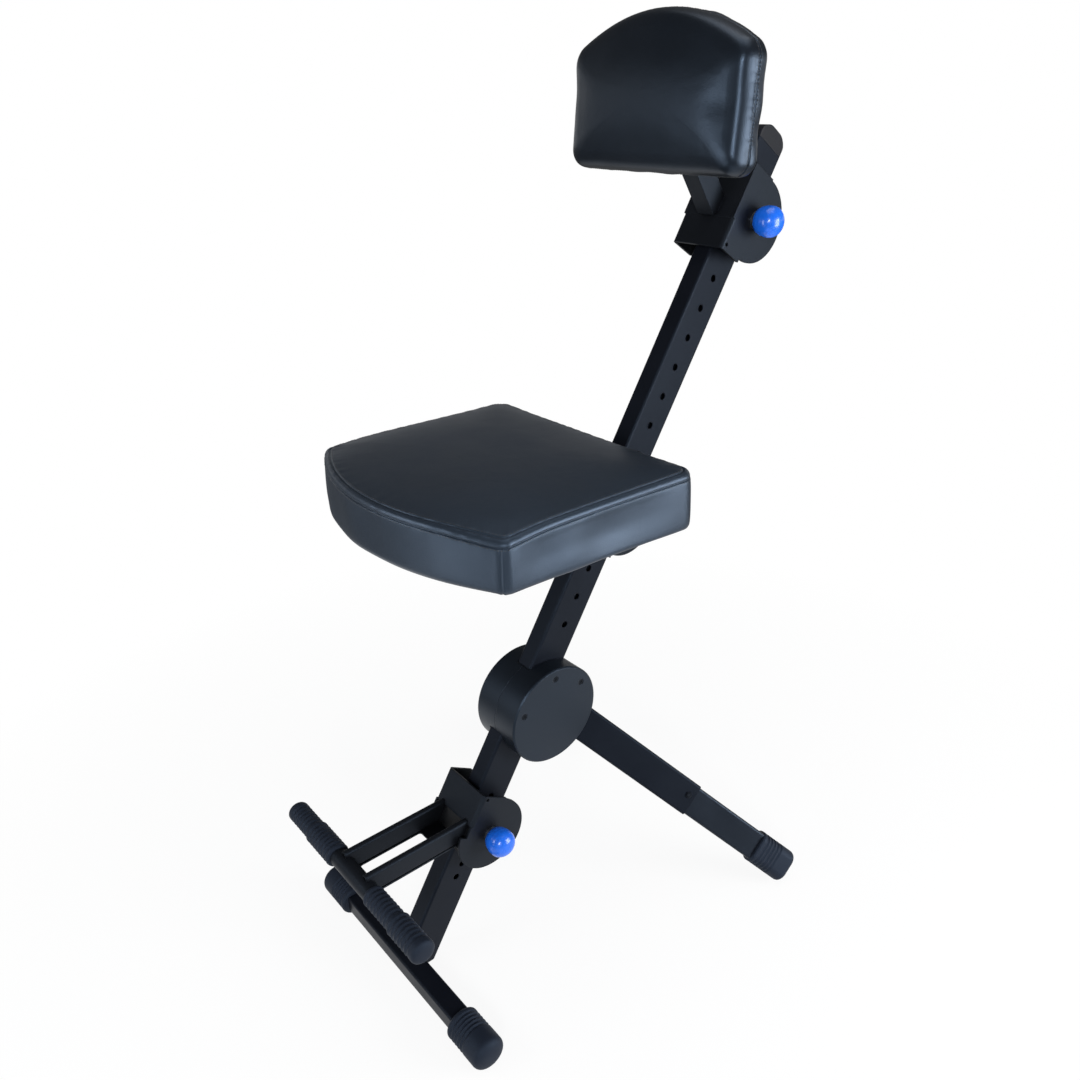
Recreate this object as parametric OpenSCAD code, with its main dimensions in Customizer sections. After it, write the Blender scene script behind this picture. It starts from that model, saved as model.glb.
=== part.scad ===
/* [Column] */
// Width of the column tube across the chair
column_w = 30; // [28:0.5:32]
// Depth of the column tube, front to back
column_d = 60; // [58:0.5:62]
// Wall of every steel tube
tube_wall = 2; // [1.5:0.25:2.5]
// Length of the column axis from the floor to the open top of the tube
column_len = 1310; // [1290:5:1320]
// Backward lean of the column from the vertical
column_lean = 31.7; // [31:0.1:32.4]
// Place of the column axis at floor level, from front to back
column_foot_y = -316; // [-330:0.5:-310]
// Diameter of the index holes
hole_d = 10; // [9.5:0.25:10.5]
// Pitch of the index holes for the seat and the backrest
hole_pitch = 44.75; // [43:0.25:46]
// Pitch of the finer index holes for the footrest
rest_hole_pitch = 22.5; // [21:0.5:23]

/* [Floor crossbar] */
// Length of the floor crossbar over its rubber boots
crossbar_len = 440; // [390:5:450]
// Width of the square crossbar tube, front to back
crossbar_w = 30; // [28:1:32]
// Height of the square crossbar tube
crossbar_h = 30; // [28:1:32]
// Outer diameter of the rubber boots
boot_d = 50; // [49:0.5:52]
// Length of the rubber boots
boot_len = 74; // [66:1:80]

/* [Hub and rear legs] */
// Distance of the hub axis up the column
hub_s = 448; // [440:1:460]
// Distance of the hub axis behind the column axis
hub_n = 28; // [27:0.5:29]
// Diameter of the round hub covers
hub_d = 156; // [155:1:160]
// Width of the hub over both covers
hub_w = 88; // [86:0.5:90]
// Depth of the outer leg tube
leg_d = 53; // [50:1:53]
// Width of the outer leg tube
leg_w = 30; // [29:0.5:31]
// Length of the outer leg tube, from the yoke plate to its mouth
leg_len = 262; // [250:1:275]
// Length of the sliding leg extension
ext_len = 357; // [345:1:362]
// Slope of the legs below the horizontal, seen from the side
leg_drop = 49.6; // [49:0.1:50.2]
// Rise of the leg axis over the hub axis, square to the leg
leg_rise = 15.2; // [14:0.1:15.5]
// Splay of each leg, away from the middle plane
leg_splay = 32; // [30:0.5:33]
// Pitch of the holes that level the legs
leg_hole_pitch = 10; // [9:0.5:11]

/* [Sliding collars] */
// Width of the collars over their side plates
collar_w = 90; // [88:0.5:92]
// Thickness of the collar steel
collar_t = 4; // [3.5:0.25:4.25]
// Radius of the round back of the side plates
collar_r = 57; // [55:0.5:58]
// Distance of the collar's front face before the column axis
collar_front = 45; // [44.5:0.25:46]
// Index hole that the seat collar sits in, counted from the bottom of the row
seat_hole = 4; // [3:1:5]
// Index hole that the backrest collar sits in, counted from the bottom of the row
back_hole = 14; // [13:1:14]
// Index hole that the footrest collar sits in, counted from the bottom of its row
rest_hole = 4; // [3:1:5]
// Diameter of the pull knobs
knob_d = 41.5; // [38:0.5:42]
// Diameter of the index pins
pin_d = 9.4; // [8.8:0.1:9.4]

/* [Footrest] */
// Height of the footrest bar over the floor
rest_z = 231; // [226:1:236]
// Reach of the footrest bar before the column foot
rest_reach = 64; // [50:1:76]
// Length of the footrest bar over its grips
rest_len = 350; // [340:1:370]
// Diameter of the bare footrest bar
bar_d = 26; // [25:0.5:27]
// Length of each rubber grip
grip_len = 128; // [122:1:130]
// Height of the footrest rails and of the seat arms
rail_h = 32; // [29:0.5:33]
// Width of the footrest rails and of the seat arms
rail_w = 10.5; // [9:0.5:12]

/* [Seat] */
// Width of the seat cushion
seat_w = 404; // [380:2:420]
// Depth of the seat cushion at its sides
seat_side = 312; // [300:1:320]
// Bow of the seat's front edge before its corners
seat_bow = 54; // [45:1:60]
// Height of the seat cushion, without its crown
seat_h = 67; // [62:0.5:70]
// Crown of the seat cushion over its rim
seat_crown = 8; // [5:0.5:12]
// Height of the seat cushion's underside over the floor
seat_z = 694; // [690:1:700]
// Place of the seat cushion's rear edge
seat_rear = 54; // [48:1:58]
// Radius of the seat cushion's front corners
seat_front_r = 16; // [12:1:24]
// Radius of the seat cushion's rear corners
seat_rear_r = 24; // [16:1:32]

/* [Backrest] */
// Width of the backrest cushion
back_w = 300; // [280:2:320]
// Height of the backrest cushion in the middle
back_h = 181; // [174:1:186]
// Arch of the backrest's top edge over its corners
back_bow = 33; // [26:1:38]
// Thickness of the backrest cushion
back_t = 46; // [42:0.5:50]
// Place of the backrest cushion's lower edge over its index pin
back_rise = 65; // [58:0.5:66]
// Distance of the backrest cushion's back before its index pin
back_reach = 136; // [132:0.5:142]
// Backward lean of the backrest cushion
back_lean = 3.5; // [2:0.5:5]
// Radius of the backrest's two upper corners
back_top_r = 28; // [22:1:34]
// Radius of the backrest's two lower corners
back_low_r = 20; // [14:1:26]

/* [Hidden] */
$fn = 48;
corner_r = 4;
weld = 0.02;
seat_gap = 0.2;
row_start = 577.5;
row_holes = 16;
rest_row_start = 162;
rest_row_holes = 7;
seat_s = row_start + seat_hole * hole_pitch;
back_s = row_start + back_hole * hole_pitch;
rest_s = rest_row_start + rest_hole * rest_hole_pitch;
boot_r = boot_d / 2;
crossbar_z = boot_r - 0.5;
crossbar_y = column_foot_y - 5.8;
plate_t = 5;
ear_t = 6;
ear_gap = 0.3;
ear_x = column_w / 2 + plate_t + ear_gap;
cover_t = 3.5;
stud_d = 12;
stud_head = 5;
yoke_r = 57;
yoke_t = 5;
glide_half = 35;
glide_n = collar_front - collar_t - seat_gap;
plate_high = 62;
leg_pin_d = 5.6;
rest_plate_low = 9;
seat_plate_low = 15;
back_plate_low = 20;
lug_top = 8;
foot_clear = 1.5;
barrel_d = 16;
knob_x = collar_w / 2 + 4.3;
knob_len = 38;
rail_x = 28.6;
rail_z = rest_z + 4;
seat_board_t = 9;
seat_plate_t = 4;
arm_z = seat_z - seat_plate_t - rail_h / 2;
channel_t = 2.5;
board_inset = 14;
screw_r = 3;
ext_w = leg_w - 2 * tube_wall - 1;
ext_d = leg_d - 2 * tube_wall - 1;
leg_in = 140;
leg_boot_d = 55.5;
leg_boot_w = 37;
leg_boot_len = 77;
plunger_back = 12;

// Frames: the column, a leg, and a side view drawn as y and z

module on_column(s) {
    translate([0, column_foot_y, 0]) rotate([-column_lean, 0, 0]) translate([0, 0, s]) children();
}

// Along a leg: its z axis runs down the leg, its y axis points up and back, square to it
module on_leg(side, r) {
    in_leg_plane() translate([side * leg_axis_x(r), leg_rise, r]) rotate([0, side * leg_splay, 0])
        children();
}

function leg_axis_x(r) = hub_w / 2 - cover_t - 0.4 - leg_w / 2 / cos(leg_splay)
    + (r - hub_d / 2) * tan(leg_splay);

module side_extrude(x0, t) {
    translate([x0, 0, 0]) rotate([90, 0, 90]) linear_extrude(t) children();
}

module round_rect(w, d, r) {
    square([w - 2 * r, d], center = true);
    square([w, d - 2 * r], center = true);
    for (sx = [-1, 1], sy = [-1, 1]) translate([sx * (w / 2 - r), sy * (d / 2 - r)]) circle(r = r);
}

module tube_section(w, d, wall = tube_wall) {
    difference() {
        round_rect(w, d, corner_r);
        round_rect(w - 2 * wall, d - 2 * wall, corner_r - wall / 2);
    }
}

// Frame: the leaning column with its index holes. Its foot is notched over the square crossbar, so
// the front wall stands on the bar and the rear wall runs down behind it

module column() {
    color("#1c1d20") difference() {
        on_column(0) linear_extrude(column_len) tube_section(column_w, column_d);
        translate([-50, crossbar_y + crossbar_w / 2 - 120, -40])
            cube([100, 120, 40 + crossbar_z + crossbar_h / 2]);
        translate([-50, crossbar_y - 100, -60]) cube([100, 240, 60 + foot_clear]);
        for (i = [0 : row_holes - 1]) on_column(row_start + i * hole_pitch) index_hole();
        for (i = [0 : rest_row_holes - 1]) on_column(rest_row_start + i * rest_hole_pitch) index_hole();
    }
}

module index_hole() {
    translate([column_w / 2 - tube_wall - 1, 0, 0]) rotate([0, 90, 0])
        cylinder(d = hole_d, h = tube_wall + 2);
}

module column_top_cap() {
    cap_h = 24;
    color("#141518") on_column(column_len) intersection() {
        union() {
            linear_extrude(cap_h) round_rect(column_w, column_d, corner_r);
            translate([0, 0, -18]) linear_extrude(18)
                round_rect(column_w - 2 * tube_wall - 0.4, column_d - 2 * tube_wall - 0.4, 3.2);
        }
        side_extrude(-column_w / 2, column_w) union() {
            translate([-column_d / 2, -20]) square([column_d, 20]);
            translate([-column_d / 2 + 22, 0]) square([column_d - 44, cap_h]);
            translate([-column_d / 2, 0]) square([column_d, cap_h - 22]);
            for (e = [-1, 1]) translate([e * (column_d / 2 - 22), cap_h - 22]) circle(r = 22);
        }
    }
}

module front_crossbar() {
    color("#1c1d20") translate([-crossbar_len / 2 + 6, crossbar_y, crossbar_z]) rotate([90, 0, 90])
        linear_extrude(crossbar_len - 12) tube_section(crossbar_w, crossbar_h);
}

// Ribbed round rubber boot along z, its open mouth at z = 0
module boot(r, len) {
    rib = 3.2;
    ribs = 5;
    rotate_extrude() difference() {
        union() {
            translate([0, 5]) square([r, len - 5 - 9]);
            polygon([[0, 0], [r - 3, 0], [r, 5], [0, 5]]);
            translate([0, len - 9]) square([r - 9, 9]);
            translate([r - 9, len - 9]) intersection() {
                circle(r = 9);
                square([9, 9]);
            }
        }
        for (i = [0 : ribs - 1]) translate([r - 1.6, 8 + i * 2 * rib]) square([3, rib]);
    }
}

module crossbar_boot(side) {
    color("#17181b") difference() {
        translate([side * (crossbar_len / 2 - boot_len), crossbar_y, crossbar_z]) rotate([0, side * 90, 0])
            boot(boot_r, boot_len);
        translate([-crossbar_len / 2 + 6 - seat_gap, crossbar_y, crossbar_z]) rotate([90, 0, 90])
            linear_extrude(crossbar_len - 12 + 2 * seat_gap)
                round_rect(crossbar_w + 2 * seat_gap, crossbar_h + 2 * seat_gap, corner_r);
        translate([-crossbar_len, crossbar_y - 50, -20]) cube([2 * crossbar_len, 100, 20]);
    }
}

// Hub: steel plates on the column, studs, and two round covers

module at_hub() {
    on_column(hub_s) translate([0, hub_n, 0]) children();
}

module pivot_plate(side) {
    x0 = side > 0 ? column_w / 2 : -column_w / 2 - plate_t;
    color("#26282b") at_hub() difference() {
        side_extrude(x0, plate_t) union() {
            circle(r = 32);
            translate([-hub_n - 22, -32]) square([hub_n + 22, 64]);
        }
        translate([x0 - 1, 0, 0]) rotate([0, 90, 0]) cylinder(d = stud_d + 0.1, h = plate_t + 2);
    }
}

module pivot_stud(side) {
    head_x = ear_x + ear_t + ear_gap;
    color("#8d9094") at_hub() mirror([side > 0 ? 0 : 1, 0, 0]) rotate([0, 90, 0]) {
        translate([0, 0, column_w / 2 + 0.3]) cylinder(d = stud_d, h = head_x - column_w / 2 - 0.3);
        translate([0, 0, head_x]) cylinder(d = 22, h = stud_head);
    }
}

cover_screw_angles = [67, 120, 189];
cover_screw_r = 62;

module at_cover_screws() {
    for (a = cover_screw_angles)
        translate([0, cover_screw_r * cos(a), cover_screw_r * sin(a)]) rotate([0, 90, 0]) children();
}

// One cover: a dished disc whose rim wraps the column and leaves a slot for the swing of the legs
module hub_cover(side) {
    r = hub_d / 2;
    half = hub_w / 2;
    color("#1d1f23") mirror([side > 0 ? 0 : 1, 0, 0]) at_hub() difference() {
        union() {
            rotate([0, 90, 0]) rotate_extrude() difference() {
                union() {
                    translate([0, 0.15]) square([r, half - 2 - 0.15]);
                    polygon([[0, half - 2], [r, half - 2], [r - 2, half], [0, half]]);
                }
                translate([-1, -1]) square([r - 3 + 1, half - cover_t + 1]);
            }
            at_cover_screws() translate([0, 0, 0.15]) cylinder(r = 6, h = half - cover_t);
        }
        translate([-1, -hub_n - column_d / 2 - seat_gap, -100])
            cube([column_w / 2 + seat_gap + 1, column_d + 2 * seat_gap, 200]);
        translate([-1, -hub_n, -34]) cube([column_w / 2 + plate_t + 1.2, hub_n + 34, 68]);
        translate([-1, -hub_n - 24, -34]) cube([column_w / 2 + plate_t + 1.2, 30, 68]);
        side_extrude(-1, half - cover_t + 1) leg_slot();
        at_cover_screws() translate([0, 0, -1]) cylinder(r = screw_r + 0.1, h = half + 2);
        at_cover_screws() translate([0, 0, half - 1.8]) cylinder(r = screw_r + 2.1, h = 4);
    }
}

// The sector that the legs sweep, from open to folded, drawn with y and z from the hub axis
module leg_slot() {
    reach = 130;
    polygon(concat([[20, 0]], [for (a = [21 : -7 : -84]) [reach * cos(a), reach * sin(a)]], [[0, -20]]));
}

module hub_cover_screws() {
    half = hub_w / 2;
    color("#0f1012") at_hub() for (side = [-1, 1]) mirror([side > 0 ? 0 : 1, 0, 0])
        at_cover_screws() {
            translate([0, 0, column_w / 2 + 1]) cylinder(r = screw_r, h = half - 1.8 - column_w / 2 - 1);
            translate([0, 0, half - 1.8]) difference() {
                cylinder(r = screw_r + 2, h = 1.6);
                translate([0, 0, 0.8]) linear_extrude(1) {
                    square([5.4, 1.1], center = true);
                    square([1.1, 5.4], center = true);
                }
            }
        }
}

// Legs: a welded yoke, two outer tubes, and extensions that slide in them

module in_leg_plane() {
    at_hub() rotate([column_lean - leg_drop - 90, 0, 0]) mirror([0, 1, 0]) children();
}

module leg_yoke() {
    m_low = leg_rise - leg_d / 2;
    m_high = leg_rise + leg_d / 2;
    color("#26282b") in_leg_plane() difference() {
        union() {
            translate([-33, m_low, yoke_r]) cube([66, m_high - m_low, yoke_t]);
            for (side = [-1, 1]) translate([side * (ear_x + ear_t / 2) - ear_t / 2, 0, 0])
                rotate([90, 0, 90]) linear_extrude(ear_t) {
                    circle(r = 24);
                    polygon([[-9, -22], [m_low, yoke_r], [m_high, yoke_r], [22, 6], [10, -20]]);
                }
        }
        translate([-60, 0, 0]) rotate([0, 90, 0]) cylinder(d = stud_d + 0.2, h = 120);
    }
}

module rear_leg(side) {
    color("#1c1d20") difference() {
        on_leg(side, yoke_r) translate([0, 0, -30]) linear_extrude(leg_len + 30) rotate(90)
            tube_section(leg_d, leg_w);
        in_leg_plane() translate([-150, -100, yoke_r + yoke_t - 150]) cube([300, 200, 150]);
        translate([side > 0 ? -200 + 0.2 : -0.2, -400, 0]) cube([200, 800, 600]);
        leg_plunger_axis(side) cylinder(d = 7, h = 12, center = true);
    }
}

// The plunger sits in the leg's outward face, near the mouth of the tube
module leg_plunger_axis(side) {
    on_leg(side, yoke_r) translate([side * leg_w / 2, 4, leg_len - plunger_back]) rotate([0, 90, 0])
        children();
}

module leg_extension(side) {
    start = leg_len - leg_in;
    color("#202226") difference() {
        on_leg(side, yoke_r) translate([0, 0, start]) linear_extrude(ext_len) rotate(90)
            tube_section(ext_d, ext_w);
        for (i = [-6 : 0]) on_leg(side, yoke_r)
            translate([side * ext_w / 2, 4, leg_len - plunger_back + i * leg_hole_pitch])
                rotate([0, 90, 0]) cylinder(d = leg_pin_d + 0.8, h = 2 * tube_wall + 3, center = true);
    }
}

// Boot of rounded oblong section along z: ribs near its mouth, a plain end rounded both ways
module oblong_boot() {
    len = leg_boot_len;
    end_r = 13;
    ribs = 5;
    rib = 3.6;
    intersection() {
        union() {
            linear_extrude(len) rotate(90) round_rect(leg_boot_d - 3, leg_boot_w - 3, 14.5);
            for (i = [0 : ribs - 1]) translate([0, 0, i * 2 * rib]) linear_extrude(rib) rotate(90)
                round_rect(leg_boot_d, leg_boot_w, 16);
            translate([0, 0, ribs * 2 * rib]) linear_extrude(len) rotate(90)
                round_rect(leg_boot_d, leg_boot_w, 16);
        }
        translate([0, 40, 0]) rotate([90, 0, 0]) linear_extrude(80) boot_profile(leg_boot_w, len, end_r);
        rotate([90, 0, 90]) translate([0, 0, -40]) linear_extrude(80) boot_profile(leg_boot_d, len, end_r);
    }
}

module boot_profile(w, len, end_r) {
    translate([-w / 2, 0]) square([w, len - end_r]);
    translate([-w / 2 + end_r, 0]) square([w - 2 * end_r, len]);
    for (e = [-1, 1]) translate([e * (w / 2 - end_r), len - end_r]) circle(r = end_r);
}

module leg_boot(side) {
    start = leg_len - leg_in + ext_len - leg_boot_len + 8;
    color("#17181b") difference() {
        on_leg(side, yoke_r) translate([0, 0, start]) oblong_boot();
        on_leg(side, yoke_r) translate([0, 0, start - 1]) linear_extrude(leg_boot_len - 8 + 1.2) rotate(90)
            round_rect(ext_d + 2 * seat_gap, ext_w + 2 * seat_gap, corner_r);
        translate([-400, -200, -60]) cube([800, 800, 60]);
    }
}

module leg_plunger(side) {
    color("#2a2b2e") leg_plunger_axis(side) mirror([0, 0, side > 0 ? 0 : 1]) {
        translate([0, 0, -tube_wall - 3.4]) cylinder(d = leg_pin_d, h = tube_wall + 3.4 + 0.4);
        translate([0, 0, 0.3]) cylinder(d = 9.6, h = 1.4);
        translate([0, 0, 1.7]) cylinder(r1 = 4.8, r2 = 3.4, h = 1.2, $fn = 40);
    }
}

// Collars: a bent U of plate with D-shaped sides, a moulded glide and a sprung index pin

// Side plate outline; up = 1 puts the front plate over the pin, -1 under it, 0 squares both corners
module collar_outline(up) {
    circle(r = collar_r);
    high = up >= 0 ? plate_high - 3 : 0;
    low = up <= 0 ? plate_high : 0;
    translate([-collar_front, -low]) square([collar_front, high + low]);
}

module collar_u_section() {
    inner = collar_w - 2 * collar_t;
    difference() {
        union() {
            translate([0, 20]) square([collar_w, 2 * collar_front - 0 + 40 - 12], center = true);
            translate([0, -collar_front + 8]) square([collar_w - 12, 16], center = true);
            for (e = [-1, 1]) translate([e * (collar_w / 2 - 6), -collar_front + 6]) circle(r = 6);
        }
        translate([-inner / 2, -collar_front + collar_t]) square([inner, 200]);
    }
}

// The front plate runs from plate_low to plate_high off the pin. Off it, the side plates reach
// forward: as lugs that hold the rails, or to the plane of the front plate when both corners are square
module collar(up, plate_low) {
    dir = up == 0 ? -1 : up;
    low = dir > 0 ? plate_low : -plate_high;
    reach = up == 0 ? collar_front : collar_r + 1;
    lug = up == 0 ? plate_low : -lug_top;
    difference() {
        intersection() {
            side_extrude(-collar_w / 2, collar_w) collar_outline(up);
            union() {
                translate([0, 0, low]) linear_extrude(plate_high - plate_low) collar_u_section();
                for (e = [-1, 1])
                    translate([e * (collar_w - collar_t) / 2 - collar_t / 2, -collar_front + 6, -80])
                        cube([collar_t, 200, 160]);
                for (e = [-1, 1])
                    translate([e * (collar_w - collar_t) / 2 - collar_t / 2, -reach, dir > 0 ? -80 : -lug])
                        cube([collar_t, 30, 80 + lug]);
                for (e = [-1, 1])
                    translate([e * (collar_w - collar_t) / 2 - collar_t / 2, -collar_front,
                               dir > 0 ? -lug_top : -plate_low])
                        cube([collar_t, 30, plate_low + lug_top]);
            }
        }
        rotate([0, 90, 0]) cylinder(d = barrel_d + 0.2, h = 100);
        translate([-100, -36, dir * 54]) rotate([0, 90, 0]) cylinder(d = 5, h = 200);
    }
}

// Moulded block that fills the collar round the column
module glide() {
    inner = collar_w - 2 * collar_t;
    color("#101114") difference() {
        translate([0, -0.5, -glide_half]) linear_extrude(2 * glide_half)
            round_rect(inner - 2 * seat_gap, 2 * glide_n - 1, 3);
        translate([0, 0, -glide_half - 1]) linear_extrude(2 * glide_half + 2)
            round_rect(column_w + 0.8, column_d + 0.8, corner_r);
        translate([24 - seat_gap, 0, 0]) rotate([0, 90, 0]) cylinder(d = barrel_d + 0.2, h = 60);
        rotate([0, 90, 0]) cylinder(d = hole_d, h = 60);
    }
}

// Threaded barrel that guides the pin and holds its spring
module barrel() {
    face = collar_w / 2;
    color("#6f7378") rotate([0, 90, 0]) difference() {
        union() {
            translate([0, 0, 24]) cylinder(d = barrel_d, h = face - 24 + 1);
            translate([0, 0, face]) cylinder(d = 24, h = 3.6);
        }
        cylinder(d = pin_d + 0.4, h = 90);
        translate([0, 0, 27]) cylinder(d = 13, h = face - 27);
    }
}

module index_pin() {
    face = collar_w / 2;
    color("#a8abaf") rotate([0, 90, 0]) {
        translate([0, 0, column_w / 2 - tube_wall - 2.2])
            cylinder(r1 = pin_d / 2 - 1.6, r2 = pin_d / 2, h = 1.6, $fn = 48);
        translate([0, 0, column_w / 2 - tube_wall - 0.6])
            cylinder(d = pin_d, h = knob_x + 20 - column_w / 2 + 2.6);
        translate([0, 0, 28]) cylinder(d = 12.4, h = 1.6);
    }
}

// Coil as one unbroken tube of 6 sides, 12 rings to a turn, round the pin
spring_turns = 5;
spring_wire = 1;
spring_r = 5.65;
spring_rings = spring_turns * 12;

module pin_spring() {
    length = collar_w / 2 - 30.2 - spring_wire * 1.4;
    pts = [for (i = [0 : spring_rings], j = [0 : 5])
        let (t = i * 30, rr = spring_r + spring_wire / 2 * cos(j * 60))
            [30.2 + spring_wire * 0.7 + length * i / spring_rings + spring_wire / 2 * sin(j * 60),
             rr * cos(t), rr * sin(t)]];
    sides = [for (i = [0 : spring_rings - 1], j = [0 : 5], k = [0, 1])
        let (a = i * 6 + j, b = i * 6 + (j + 1) % 6)
            k == 0 ? [a, b, b + 6] : [a, b + 6, a + 6]];
    ends = concat([for (j = [1 : 4]) [0, j + 1, j]],
        [for (j = [1 : 4]) let (q = spring_rings * 6) [q, q + j, q + j + 1]]);
    color("#b5b8bb") polyhedron(points = pts, faces = concat(sides, ends), convexity = 6);
}

// Ball-ended pull knob with a waist
module knob() {
    r = knob_d / 2;
    color("#1f63d6") translate([knob_x, 0, 0]) rotate([0, 90, 0]) difference() {
        rotate_extrude() union() {
            square([r * 0.62, knob_len - r * 0.8]);
            polygon([[0, 0], [r * 0.62, 0], [r * 0.8, 3], [r * 0.93, 9], [r, 16], [r, knob_len - r * 0.8],
                [0, knob_len - r * 0.8]]);
            translate([0, knob_len - r * 0.8]) intersection() {
                scale([1, 0.8]) circle(r = r);
                square([r, r]);
            }
        }
        translate([0, 0, -1]) cylinder(d = pin_d + 0.1, h = 21.2);
    }
}

// Two rails run level from the collar, joined by a plate between the side plates

// Room taken by the glide, and by the front plate where it stands in the rails' way
module past_column(s, plate_from) {
    on_column(s) translate([-200, -glide_n - 0.6, -400]) cube([400, 300, 800]);
    on_column(s) translate([-200, -collar_front - 0.1, plate_from - 0.1]) cube([400, 300, 400]);
}

module rail(side, z, y_front, s, plate_from) {
    color("#1c1d20") difference() {
        translate([side * rail_x, y_front, z]) rotate([-90, 0, 0]) linear_extrude(400)
            tube_section(rail_w, rail_h, 1.5);
        past_column(s, plate_from);
    }
}

module seat_yoke() {
    inner = collar_w - 2 * collar_t;
    side_w = inner / 2 - rail_x - rail_w / 2;
    low = arm_z - rail_h / 2;
    y_front = seat_rear - 45;
    color("#222428") difference() {
        union() {
            translate([-inner / 2, y_front, low - channel_t]) cube([inner, 300, channel_t]);
            for (e = [-1, 1]) translate([e * (inner / 2 - side_w / 2) - side_w / 2, y_front, low - 1])
                cube([side_w, 300, rail_h + 1]);
        }
        past_column(seat_s, 300);
    }
}

// Footrest

rest_y = column_foot_y - rest_reach;
rest_slot_front = rest_y + 19;
rest_slot_rear = rest_y + 118.5;

module footrest_bar() {
    color("#1c1d20") difference() {
        translate([-rest_len / 2 + 4, rest_y, rest_z]) rotate([0, 90, 0]) difference() {
            cylinder(d = bar_d, h = rest_len - 8);
            translate([0, 0, -1]) cylinder(d = bar_d - 2 * tube_wall, h = rest_len);
        }
    }
}

module footrest_rail(side) {
    difference() {
        rail(side, rail_z, rest_y, rest_s, rest_plate_low);
        translate([-200, rest_y, rest_z]) rotate([0, 90, 0]) cylinder(d = bar_d + 0.1, h = 400);
    }
}

// Web under the rails, with a long slot between them. It widens between the lugs of the collar
module footrest_yoke() {
    half = rail_x + rail_w / 2;
    inner = collar_w - 2 * collar_t;
    web_z = rail_z - rail_h / 2 - channel_t;
    gap = 2 * rail_x - rail_w;
    color("#1c1d20") difference() {
        union() {
            translate([-half, rest_y + 8, web_z]) cube([2 * half, 300, channel_t]);
            translate([-inner / 2, rest_slot_rear + 22, web_z]) cube([inner, 300, channel_t]);
        }
        translate([0, (rest_slot_front + rest_slot_rear) / 2, web_z - 1]) linear_extrude(channel_t + 2)
            round_rect(gap, rest_slot_rear - rest_slot_front, 4);
        past_column(rest_s, 300);
    }
}

// Ribbed grip: a slim part and a thicker part. Both grips are pushed on the same way round, so that
// the thicker part is on the left half of each, and only the outer end is closed
module footrest_grip(side) {
    slim = 15.6;
    thick = 17.4;
    pitch = 8;
    inner_r = side > 0 ? slim : thick;
    outer_r = side > 0 ? thick : slim;
    color("#17181b") translate([side * (rest_len / 2 - grip_len), rest_y, rest_z]) rotate([0, side * 90, 0])
        difference() {
            rotate_extrude() difference() {
                union() {
                    translate([0, 2]) square([inner_r, grip_len / 2 - 2]);
                    square([inner_r - 1.5, 4]);
                    translate([0, grip_len / 2]) square([outer_r, grip_len / 2 - 5]);
                    square([outer_r - 5, grip_len]);
                    translate([outer_r - 5, grip_len - 5]) circle(r = 5);
                }
                for (i = [0 : 12])
                    translate([(i < 7 ? inner_r : outer_r) - 1.2, 5 + i * pitch + (i < 7 ? 0 : 6)])
                        square([6, pitch * 0.42]);
            }
            translate([0, 0, -1]) cylinder(d = bar_d + 0.2, h = grip_len - 4 + 1);
        }
}

// Seat

arm_front = seat_rear - 205;

module seat_plate() {
    color("#222428") difference() {
        translate([-78, arm_front + 4, seat_z - seat_plate_t]) cube([156, 150, seat_plate_t - 0.02]);
        seat_screw_places() cylinder(r = screw_r + 0.4, h = 40, center = true);
    }
}

module seat_screw_places() {
    for (sx = [-1, 1], y = [20, 138]) translate([sx * 64, arm_front + y, seat_z - seat_plate_t])
        children();
}

module seat_screws() {
    color("#8d9094") seat_screw_places() {
        translate([0, 0, -1]) cylinder(r = screw_r, h = seat_plate_t + seat_board_t);
        translate([0, 0, -3]) cylinder(r = 5.5, h = 3);
    }
}

module seat_board() {
    color("#3a2f24") difference() {
        translate([0, 0, seat_z]) linear_extrude(seat_board_t)
            polygon(pad_ring(board_inset, 0, seat_w, seat_rear, seat_side, seat_bow,
                seat_rear_r, seat_front_r));
        seat_screw_places() cylinder(r = screw_r + 0.1, h = seat_plate_t + seat_board_t - 0.6);
    }
}

// Outline of a cushion, anticlockwise: two rear corners, then a bowed front between two corners.
// inset shrinks it, pull draws the straight sides in between their corners, rr and rf are the radii
// of the rear and of the front corners
function arc(cx, cy, r, a0, a1, n) = [for (i = [0 : n])
    let (a = a0 + (a1 - a0) * i / n) [cx + r * cos(a), cy + r * sin(a)]];

function pad_ring(inset, pull, w, rear, side, bow, rr, rf) =
    let (
        hw = w / 2 - inset, yr = rear - inset, yf = rear - side + inset,
        k = max(rr - inset * 0.4, 6), c = max(rf - inset * 0.4, 6),
        slope = atan(2 * bow / (hw - c)), xe = hw - c + c * sin(slope), ye = yf + c - c * cos(slope)
    ) concat(
        arc(hw - k, yr - k, k, 0, 90, 5),
        [for (f = [0.25, 0.5, 0.75]) [(hw - k) * (1 - 2 * f), yr - pull * 4 * f * (1 - f)]],
        arc(-hw + k, yr - k, k, 90, 180, 5),
        [for (f = [0.25, 0.5, 0.75]) [-hw + pull * 4 * f * (1 - f), yr - k - (yr - yf - k - c) * f]],
        arc(-hw + c, yf + c, c, 180, 270 - slope, 4),
        [for (i = [1 : 11]) let (u = -1 + i / 6) [xe * u, ye - bow * (1 - u * u)]],
        arc(hw - c, yf + c, c, 270 + slope, 360, 4),
        [for (f = [0.25, 0.5, 0.75]) [hw - pull * 4 * f * (1 - f), yf + c + (yr - yf - k - c) * f]]
    );

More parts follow.
